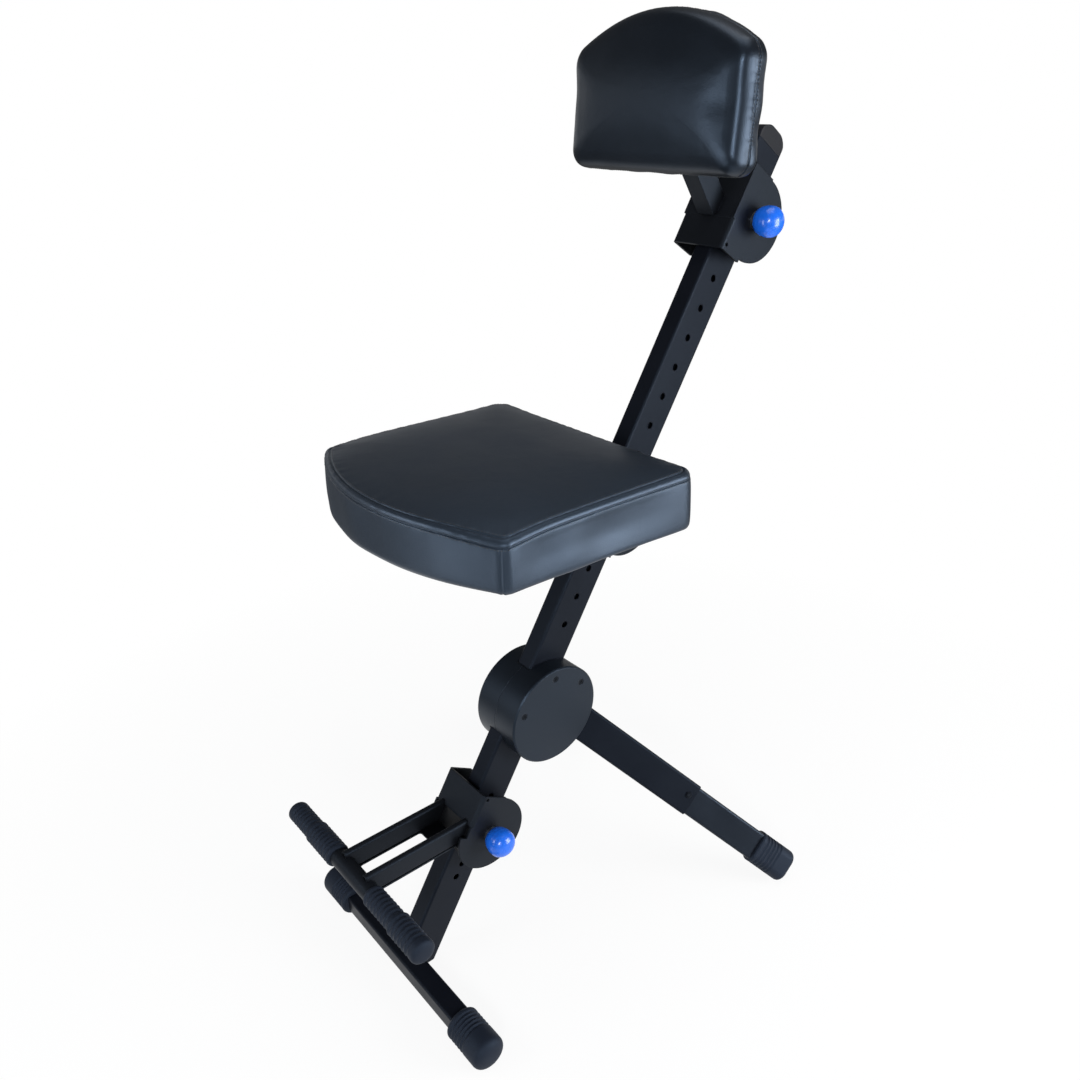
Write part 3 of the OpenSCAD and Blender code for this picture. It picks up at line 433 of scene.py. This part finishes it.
# The pull knobs.
# Blue polypropylene moulded over the end of each pin: a ball with a flat crown and a waist, glossy
# enough to hold a clear highlight.
blue_knob = moulded_plastic("blue_knob", "#1660d2", haze_mm=2.0, roughness=0.24, spread=0.02,
                            gloss=0.5)
coat(blue_knob, "footrest_knob", "seat_knob", "backrest_knob")


# The seat cushion.
# Foam on a plywood board in black vinyl: a top panel, a rolled shoulder and a side band, joined by two
# rows of stitching, with a closing seam at each front corner. The foam is wider than the board, so the
# vinyl turns in under it and ends at the board's edge. The foam is a little lower at the front corners.
def pad_rows(inset, pull, width, rear, side, bow, rear_r, front_r):
    """The plan of a cushion, a row of points for each inset: round corners whose radius shrinks by
    0.4 of the inset, straight sides that a parabola of depth pull draws in, and a front that a
    parabola of height bow carries forward."""
    e, p = inset[:, None], pull[:, None]
    hw, yr, yf = width / 2 - e, rear - e, rear - side + e
    k, c = np.maximum(rear_r - 0.4 * e, 0.006), np.maximum(front_r - 0.4 * e, 0.006)
    slope = np.arctan(2 * bow / (hw - c))
    bend = np.linspace(0.0, 1.0, 13)[None, :]
    back_run, side_run, front_run = (np.linspace(0.0, 1.0, n)[None, 1:-1] for n in (94, 66, 98))
    u = 2 * front_run - 1
    long_side = yr - yf - k - c
    xe, ye = hw - c + c * np.sin(slope), yf + c - c * np.cos(slope)

    def corner(x, y, r, start, sweep):
        turn = start + sweep * bend
        return x + r * np.cos(turn), y + r * np.sin(turn)

    parts = [corner(hw - k, yr - k, k, 0.0, np.pi / 2),
             ((hw - k) * (1 - 2 * back_run), yr - p * 4 * back_run * (1 - back_run)),
             corner(-hw + k, yr - k, k, np.pi / 2, np.pi / 2),
             (-hw + p * 4 * side_run * (1 - side_run), yr - k - long_side * side_run),
             corner(-hw + c, yf + c, c, np.pi, np.pi / 2 - slope),
             (xe * u, ye - bow * (1 - u * u)),
             corner(hw - c, yf + c, c, 1.5 * np.pi + slope, np.pi / 2 - slope),
             (hw - p * 4 * side_run * (1 - side_run), yf + c + long_side * side_run)]
    return np.concatenate([x for x, _ in parts], 1), np.concatenate([y for _, y in parts], 1)


def through(points, places):
    """A Catmull-Rom curve through the points, read at places that count points from the first."""
    points = np.vstack([2 * points[0] - points[1], points, 2 * points[-1] - points[-2]])
    i = np.minimum(places.astype(int), len(points) - 4)
    t = (places - i)[:, None]
    a, b, c, d = points[i], points[i + 1], points[i + 2], points[i + 3]
    return b + 0.5 * t * (c - a + t * (2 * a - 5 * b + 4 * c - d + t * (3 * (b - c) + d - a)))


def cushion_grid(profile, seam_heights, crown, middle, pocket, plan):
    """Rows of points over a cushion, from the middle of its back to the middle of its face. The side
    follows the profile of (inset, height, pull), with rows 2.4 mm apart and 0.5 mm at the seams; the
    face shrinks towards its middle by t, as its rings turn from the plan into ovals, and rises by
    crown (1 - t^2); 80 rounds of a 1-2-1 mean, from 20 mm before its edge, leave no crease there. Also
    gives the length along the profile at each row, on to a nominal 170 mm at the middle of the face,
    and the length at each seam."""
    dense = through(np.array(profile) / 1000.0, np.linspace(0.0, len(profile) - 1.0, 1500))
    run = np.concatenate([[0.0], np.cumsum(np.hypot(np.diff(dense[:, 0]), np.diff(dense[:, 1])))])
    seams = [float(np.interp(h / 1000.0, dense[:, 1], run)) for h in seam_heights]
    near = [np.arange(-0.004, 0.0041, 0.0005) + seam for seam in seams]
    even = np.arange(0.0, run[-1], 0.0024)
    even = even[np.min([np.abs(even - seam) for seam in seams], 0) > 0.0052]
    places = np.unique(np.concatenate([even, [run[-1]], *near]))
    places = places[(places >= 0.0) & (places <= run[-1])]
    e, z, p = (np.interp(places, run, dense[:, i]) for i in range(3))
    x, y = pad_rows(e, p, *plan)
    side_rows = np.stack([x, y, np.broadcast_to(z[:, None], x.shape)], -1)
    shrink = np.linspace(1.0, 0.02, 40)[1:]
    t = shrink[:, None]
    rx, ry = x[-1], y[-1] - middle
    oval = 1.0 / np.hypot(rx / np.abs(rx).max(), ry / (np.ptp(ry) / 2))
    grown = t * (t + (1 - t) * oval)
    rise = np.broadcast_to(z[-1] + crown * (1 - t ** 2), grown.shape)
    face = np.stack([rx * grown, middle + ry * grown, rise], -1)
    inner_e, inner_z = (np.array(v) / 1000.0 for v in zip(*pocket))
    px, py = pad_rows(inner_e, 0.0 * inner_e, *plan)
    fold = np.stack([px, py, np.broadcast_to(inner_z[:, None], px.shape)], -1)
    t = np.linspace(0.02, 1.0, 9)[:-1, None]
    flat = np.full((len(t), px.shape[1]), inner_z[0])
    back = np.stack([px[0] * t, middle + (py[0] - middle) * t, flat], -1)
    rows = np.concatenate([back, fold, side_rows, face])
    reach = np.concatenate([np.full(len(back) + len(fold), -1.0), places,
                            run[-1] + (1 - shrink) * 0.17])
    begin = int(np.argmin(np.abs(reach - run[-1] + 0.020)))
    for _ in range(80):
        rows[begin + 1:-1] = (rows[begin:-2] + 2 * rows[begin + 1:-1] + rows[begin + 2:]) / 4
    return rows, reach, seams


def outward(rows):
    """The unit normal at each point: the step along the ring crossed with the step to the next row."""
    along = np.roll(rows, -1, 1) - np.roll(rows, 1, 1)
    up = np.gradient(rows, axis=0)
    normal = np.cross(along, up)
    return normal / np.maximum(np.linalg.norm(normal, axis=-1, keepdims=True), 1e-12)


def swelled(rows, name, held_below, pressure, cap):
    """Foam as cloth: the grid's shape is remeshed in 5 mm voxels, what lies below held_below is held,
    and pressure swells the rest for 20 frames. Each point of the grid then moves along its normal as
    the 14 points of the foam nearest to it do, weighted by a bell curve of 6 mm. The vinyl is pulled
    taut, so the move is evened out in 40 rounds of a 1-2-1 mean and scaled until its most is cap."""
    scene = bpy.context.scene
    shape = swept_skin(name + "_shape", rows)
    voxels = shape.modifiers.new("voxels", "REMESH")
    voxels.mode, voxels.voxel_size = "VOXEL", 0.005
    bpy.context.view_layer.update()
    mesh = bpy.data.meshes.new_from_object(shape.evaluated_get(bpy.context.evaluated_depsgraph_get()))
    foam = bpy.data.objects.new(name + "_foam", mesh)
    scene.collection.objects.link(foam)
    start = np.empty(len(mesh.vertices) * 3)
    mesh.vertices.foreach_get("co", start)
    start = start.reshape(-1, 3)
    held = foam.vertex_groups.new(name="held")
    held.add(np.nonzero(start[:, 2] < held_below)[0].tolist(), 1.0, "REPLACE")
    cloth = foam.modifiers.new("cloth", "CLOTH")
    cloth.settings.use_pressure = True
    cloth.settings.uniform_pressure_force = pressure
    cloth.settings.vertex_group_mass = "held"
    cloth.settings.effector_weights.gravity = 0.0
    cloth.point_cache.frame_start, cloth.point_cache.frame_end = 1, 20
    for number in range(1, 21):
        scene.frame_set(number)
    done = foam.evaluated_get(bpy.context.evaluated_depsgraph_get()).data
    stop = np.empty(len(done.vertices) * 3)
    done.vertices.foreach_get("co", stop)
    way = stop.reshape(-1, 3) - start
    for piece in (shape, foam):
        bpy.data.objects.remove(piece)
    scene.frame_set(1)
    tree = mathutils.kdtree.KDTree(len(start))
    for i, point in enumerate(start.tolist()):
        tree.insert(point, i)
    tree.balance()
    near = [tree.find_n(point, 14) for point in rows.reshape(-1, 3).tolist()]
    index = np.array([[hit[1] for hit in hits] for hits in near])
    gap = np.array([[hit[2] for hit in hits] for hits in near])
    weight = np.exp(-(gap / 0.006) ** 2)
    moved = (way[index] * weight[..., None]).sum(1) / weight.sum(1)[:, None]
    push = (moved.reshape(rows.shape) * outward(rows)).sum(-1)
    for _ in range(40):
        push = (np.roll(push, 1, 1) + 2 * push + np.roll(push, -1, 1)) / 4
        push = (np.vstack([push[:1], push[:-1]]) + 2 * push + np.vstack([push[1:], push[-1:]])) / 4
    return rows + (push * cap / push.max())[..., None] * outward(rows)


def drawn_in(rows, reach, seams, closing, depth, pucker, seed):
    """Sewn lines: each seam is a groove exp(-(d / 1.1 mm)^2) deep by depth. Beside it the vinyl
    gathers in small folds, a sum of seeded sines along the ring that fades over 7 mm. The band below
    the first seam is slack by 0.5 mm, in slower sines, and at the columns given a closing seam cuts it
    1 mm deep, with a bead of 0.4 mm on either side."""
    ring = rows[np.argmin(np.abs(reach - seams[0]))]
    step = np.linalg.norm(np.roll(ring, -1, 0) - ring, axis=1)
    place = np.concatenate([[0.0], np.cumsum(step)[:-1]])
    length = step.sum()
    dice = np.random.default_rng(seed)
    waves = dice.integers(38, 105, 26)
    folds = sum(np.sin(2 * np.pi * (n * place / length + dice.random())) for n in waves)
    folds = np.clip(folds / 5.1, -1.0, 1.0)
    slack = sum(np.sin(2 * np.pi * (n * place / length + dice.random())) for n in (5, 8, 13, 17))
    lift = np.zeros(rows.shape[:2])
    for seam in seams:
        away = np.abs(reach - seam)[:, None]
        lift -= depth * np.exp(-(away / 0.0011) ** 2)
        lift += pucker * np.exp(-away / 0.007) * (1 - np.exp(-(away / 0.0012) ** 2)) * folds
    band = (reach > 0.0) & (reach < seams[0])
    bulge = np.sin(np.pi * np.clip(reach / seams[0], 0, 1))
    lift += np.where(band, 0.0005 * bulge, 0.0)[:, None] * slack
    for column in closing:
        turn = np.abs((place - place[column] + length / 2) % length - length / 2)
        lift -= np.where(band, 0.0010, 0.0)[:, None] * np.exp(-(turn / 0.0011) ** 2)
        lift += np.where(band, 0.0004, 0.0)[:, None] * np.exp(-((turn - 0.003) / 0.0018) ** 2)
    return rows + lift[..., None] * outward(rows)


def stitched(name, line, normal, pitch, body, thread):
    """Thread along a closed line: capsules of five rings of six points, one for each pitch, 0.68 of it
    long and 0.84 mm thick, lying along the line and sunk to their middles."""
    step = np.linalg.norm(np.roll(line, -1, 0) - line, axis=1)
    run = np.concatenate([[0.0], np.cumsum(step)])
    count = int(run[-1] / pitch)
    places = (np.arange(count) + 0.5) * run[-1] / count
    loop = np.vstack([line, line[:1]])
    middle = np.stack([np.interp(places, run, loop[:, i]) for i in range(3)], -1)
    ahead = np.stack([np.interp(places + 0.001, run, loop[:, i]) for i in range(3)], -1) - middle
    ahead /= np.linalg.norm(ahead, axis=1, keepdims=True)
    loop = np.vstack([normal, normal[:1]])
    up = np.stack([np.interp(places, run, loop[:, i]) for i in range(3)], -1)
    up -= (up * ahead).sum(1, keepdims=True) * ahead
    up /= np.linalg.norm(up, axis=1, keepdims=True)
    out = np.cross(ahead, up)
    along = np.array([-0.5, -0.38, 0.0, 0.38, 0.5]) * 0.68 * pitch
    r = np.array([0.12, 0.85, 1.0, 0.85, 0.12]) * 0.00042
    dip = np.array([-0.0005, -0.00015, 0.00008, -0.00015, -0.0005])
    turn = np.arange(6) * np.pi / 3
    lifted = (r[:, None] * np.sin(turn))[None, ..., None]
    points = (middle[:, None, None] + ahead[:, None, None] * along[None, :, None, None]
              + up[:, None, None] * (dip[None, :, None, None] + lifted)
              + out[:, None, None] * (r[:, None] * np.cos(turn))[None, ..., None])
    i, j = np.meshgrid(np.arange(4), np.arange(6), indexing="ij")
    k = (j + 1) % 6
    quads = np.stack([i * 6 + j, i * 6 + 6 + j, i * 6 + 6 + k, i * 6 + k], -1).reshape(-1, 4)
    caps = [list(range(6)), list(range(29, 23, -1))]
    faces = [face for n in range(0, 30 * count, 30)
             for face in (quads + n).tolist() + [[p + n for p in cap] for cap in caps]]
    mesh = bpy.data.meshes.new(name)
    mesh.from_pydata(points.reshape(-1, 3).tolist(), [], faces)
    mesh.polygons.foreach_set("use_smooth", np.ones(len(mesh.polygons), bool))
    mesh.materials.append(thread)
    mesh.update()
    piece = bpy.data.objects.new(name, mesh)
    bpy.context.scene.collection.objects.link(piece)
    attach(piece, body)


def sewn_vinyl(name, colour, grain_mm, roughness, gloss):
    """Embossed vinyl: pebbles grain_mm across with finer pits, long slow creases, and a gloss that
    is lower where hands and clothes have dulled it."""
    material, tree, place = blank_material(name)
    pebbles = add(tree, "ShaderNodeTexVoronoi", {"feature": "SMOOTH_F1", "Scale": 1000.0 / grain_mm,
                                                 "Smoothness": 0.5}, [("Vector", place)])
    pits = add(tree, "ShaderNodeTexNoise", {"Scale": 2400.0 / grain_mm, "Detail": 2.0},
               [("Vector", place)])
    creases = add(tree, "ShaderNodeTexNoise", {"Scale": 34.0, "Detail": 5.0, "Distortion": 0.7},
                  [("Vector", place)])
    dulled = add(tree, "ShaderNodeTexNoise", {"Scale": 7.0, "Detail": 3.0}, [("Vector", place)])
    tint = add(tree, "ShaderNodeMix",
               {"data_type": "RGBA", 6: linear(colour, 0.86), 7: linear(colour, 1.16)},
               [(0, dulled.outputs["Fac"])])
    rough = add(tree, "ShaderNodeMapRange",
                {"From Min": 0.3, "From Max": 0.7, "To Min": roughness - 0.05,
                 "To Max": roughness + 0.07}, [("Value", dulled.outputs["Fac"])])
    grain = add(tree, "ShaderNodeMath", {"operation": "MULTIPLY_ADD", 1: 0.35},
                [(0, pits.outputs["Fac"]), (2, pebbles.outputs["Distance"])])
    slow = add(tree, "ShaderNodeBump", {"Strength": 0.25, "Distance": 0.0012},
               [("Height", creases.outputs["Fac"])])
    fine = add(tree, "ShaderNodeBump", {"Strength": 0.45, "Distance": 0.00016},
               [("Height", grain.outputs[0]), ("Normal", slow.outputs[0])])
    skin = add(tree, "ShaderNodeBsdfPrincipled",
               {"IOR": 1.5, "Specular IOR Level": gloss, "Specular Tint": linear("#bcdaff")},
               [("Base Color", tint.outputs[2]), ("Roughness", rough.outputs[0]),
                ("Normal", fine.outputs[0])])
    add(tree, "ShaderNodeOutputMaterial", {}, [("Surface", skin.outputs[0])])
    return material


def sewing_thread(name, colour):
    """Bonded polyester thread: its twist is a fine band pattern across a dull, slightly fuzzy skin."""
    material, tree, place = blank_material(name)
    twist = add(tree, "ShaderNodeTexWave", {"Scale": 900.0, "Distortion": 1.5},
                [("Vector", place)])
    tint = add(tree, "ShaderNodeMix",
               {"data_type": "RGBA", 6: linear(colour, 0.7), 7: linear(colour, 1.4)},
               [(0, twist.outputs["Fac"])])
    skin = add(tree, "ShaderNodeBsdfPrincipled", {"Roughness": 0.7, "Sheen Weight": 0.2},
               [("Base Color", tint.outputs[2])])
    add(tree, "ShaderNodeOutputMaterial", {}, [("Surface", skin.outputs[0])])
    return material


# Width, rear edge, depth at the sides, bow, and the radii of the rear and front corners. The profiles
# are (inset, height, pull) in mm.
seat_plan = (0.404, 0.054, 0.312, 0.054, 0.024, 0.016)
seat_underside, corner_x, corner_y, side_depth = 0.694, 0.202, -0.258, 0.31
seat_profile = [(12.4, 0.0, 0.0), (9.6, 2.2, 0.1), (5.8, 5.0, 0.3), (3.4, 7.8, 0.6),
                (2.2, 11.5, 1.2), (2.0, 20.0, 2.2), (2.4, 36.0, 3.6), (2.8, 52.0, 2.8),
                (3.2, 62.0, 1.4), (3.8, 67.0, 1.0), (5.4, 71.0, 1.0), (8.6, 73.3, 1.0),
                (11.5, 74.0, 1.0), (16.0, 75.2, 0.8), (24.0, 76.3, 0.3), (34.0, 77.0, 0.0)]
seat_rows, seat_reach, seat_seams = cushion_grid(
    seat_profile, seam_heights=(64.6, 73.9), crown=0.0022, middle=-0.129,
    pocket=[(13.7, 9.6), (13.7, 5.0), (13.7, 0.6), (13.2, 0.0)], plan=seat_plan)
seat_rows = swelled(seat_rows, "seat", held_below=0.009, pressure=4.0, cap=0.004)
for side in (-1, 1):
    away = np.hypot(seat_rows[..., 0] - side * corner_x, seat_rows[..., 1] - corner_y)
    seat_rows[..., 2] *= 1.0 - 0.08 * np.exp(-(away / 0.05) ** 2)
# Towards the rear the side band reaches up to 9 mm further down, and its hem 4 mm.
rearward = np.clip((seat_rows[..., 1] - corner_y) / side_depth, 0.0, 1.0)
low_part = np.clip((0.048 - seat_rows[..., 2]) / 0.04, 0.0, 1.0)
above_hem = np.clip(seat_rows[..., 2] / 0.008, 0.0, 1.0)
on_side = (seat_reach >= 0.0)[:, None]
seat_rows[..., 2] -= (0.005 * above_hem + 0.004 * on_side) * rearward * low_part
seat_rows = drawn_in(seat_rows, seat_reach, seat_seams, closing=(192, 293), depth=0.0014,
                     pucker=0.0003, seed=7)
seat_normals = outward(seat_rows)
seat_rows = seat_rows + np.array([0.0, 0.0, seat_underside])
seat_pad = swept_skin("seat_cushion_vinyl", seat_rows)
seat_vinyl = sewn_vinyl("seat_cover", "#191f27", grain_mm=1.5, roughness=0.42, gloss=0.7)
seat_pad.data.materials.append(seat_vinyl)
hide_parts("seat_cushion")
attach(seat_pad, "seat")
black_thread = sewing_thread("black_thread", "#16181c")
for label, seam, aside in (("lower", seat_seams[0], -0.0024), ("upper", seat_seams[1], 0.0024)):
    row = int(np.argmin(np.abs(seat_reach - seam - aside)))
    stitched("seat_thread_" + label, seat_rows[row], seat_normals[row], pitch=0.0042, body="seat",
             thread=black_thread)


# The backrest cushion.
# The same foam and vinyl, glossier and arched at the top, on a board of its own. Its vinyl is given a
# darker colour than the seat's: painted shade for the backrest's face. One seam runs round the side,
# where the front panel meets the band.
def on_back(rows):
    """From the cushion's own frame to the chair's: the width stays x, the plan's bowed edge points up
    and its thickness forward, then the whole leans back by 3.5 degrees. Its foot stands 136 mm before
    and 65 mm above the collar, which sits 14 holes of 44.75 mm up the column's upper row."""
    turn = math.radians(90.0 - 3.5)
    up, ahead = -rows[..., 1], rows[..., 2]
    first_hole, hole_pitch, holes_up = 0.5775, 0.04475, 14
    back_s = first_hole + holes_up * hole_pitch
    back_y = foot_y + back_s * math.sin(lean) - 0.136
    back_z = back_s * math.cos(lean) + 0.065
    return np.stack([rows[..., 0], back_y + up * math.cos(turn) - ahead * math.sin(turn),
                     back_z + up * math.sin(turn) + ahead * math.cos(turn)], -1)[:, ::-1]


back_plan = (0.297, 0.0035, 0.1535, 0.0355, 0.020, 0.028)
back_profile = [(10.0, 0.0, 0.0), (5.0, 1.0, 0.0), (2.6, 4.5, 0.0), (1.7, 11.0, 0.0),
                (1.8, 17.0, 0.0), (1.9, 22.0, 0.0), (2.8, 29.0, 0.0), (5.6, 36.4, 0.0),
                (11.0, 41.6, 0.0), (20.0, 44.6, 0.0), (32.0, 46.4, 0.0), (44.0, 47.4, 0.0)]
back_rows, back_reach, back_seams = cushion_grid(
    back_profile, seam_heights=(17.0,), crown=0.0030, middle=-0.0905,
    pocket=[(14.0, 0.3), (12.0, 0.1)], plan=back_plan)
back_rows = swelled(back_rows, "backrest", held_below=0.006, pressure=4.0, cap=0.004)
back_rows = on_back(drawn_in(back_rows, back_reach, back_seams, closing=(), depth=0.0013,
                             pucker=0.0003, seed=11))
back_pad = swept_skin("backrest_cushion_vinyl", back_rows)
# Painted shade: the same vinyl as the seat's, in a darker colour for the backrest's less lit face.
shaded_back_vinyl = sewn_vinyl("backrest_cover", "#0d1015", grain_mm=1.3, roughness=0.34, gloss=0.5)
back_pad.data.materials.append(shaded_back_vinyl)
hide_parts("backrest_cushion")
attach(back_pad, "backrest")
back_normals = outward(back_rows)
for label, aside in (("lower", -0.0022), ("upper", 0.0022)):
    row = int(np.argmin(np.abs(back_reach - back_seams[0] - aside)))
    stitched("backrest_thread_" + label, back_rows[row], back_normals[row], pitch=0.0042,
             body="backrest", thread=black_thread)


# The boards.
# Plywood, 9 and 7 mm, stained black so that it doesn't show beside the vinyl, with the grain across
# the seat.
def plywood(name, pale, dark):
    """Rotary cut veneer: noise drawn out 14 to 1 along the grain, between a pale and a dark tone, over
    slow bands, and a faint ridge for each fibre."""
    material, tree, place = blank_material(name)
    drawn = add(tree, "ShaderNodeMapping", {"Scale": (18.0, 250.0, 250.0)}, [("Vector", place)])
    fibres = add(tree, "ShaderNodeTexNoise", {"Scale": 1.0, "Detail": 6.0},
                 [("Vector", drawn.outputs["Vector"])])
    bands = add(tree, "ShaderNodeTexNoise", {"Scale": 11.0, "Detail": 2.0, "Distortion": 2.0},
                [("Vector", place)])
    both_tones = add(tree, "ShaderNodeMath", {"operation": "MULTIPLY_ADD", 1: 0.6},
                     [(0, fibres.outputs["Fac"]), (2, bands.outputs["Fac"])])
    tone = add(tree, "ShaderNodeMapRange", {"From Min": 0.55, "From Max": 1.05},
               [("Value", both_tones.outputs[0])])
    tint = add(tree, "ShaderNodeMix", {"data_type": "RGBA", 6: linear(dark), 7: linear(pale)},
               [(0, tone.outputs[0])])
    lift = add(tree, "ShaderNodeBump", {"Strength": 0.4, "Distance": 0.0002},
               [("Height", fibres.outputs["Fac"])])
    skin = add(tree, "ShaderNodeBsdfPrincipled", {"Roughness": 0.7, "Specular IOR Level": 0.3},
               [("Base Color", tint.outputs[2]), ("Normal", lift.outputs[0])])
    add(tree, "ShaderNodeOutputMaterial", {}, [("Surface", skin.outputs[0])])
    return material


stained_plywood = plywood("stained_plywood", "#2b2826", "#171615")
coat(stained_plywood, "seat_board", "backrest_board")
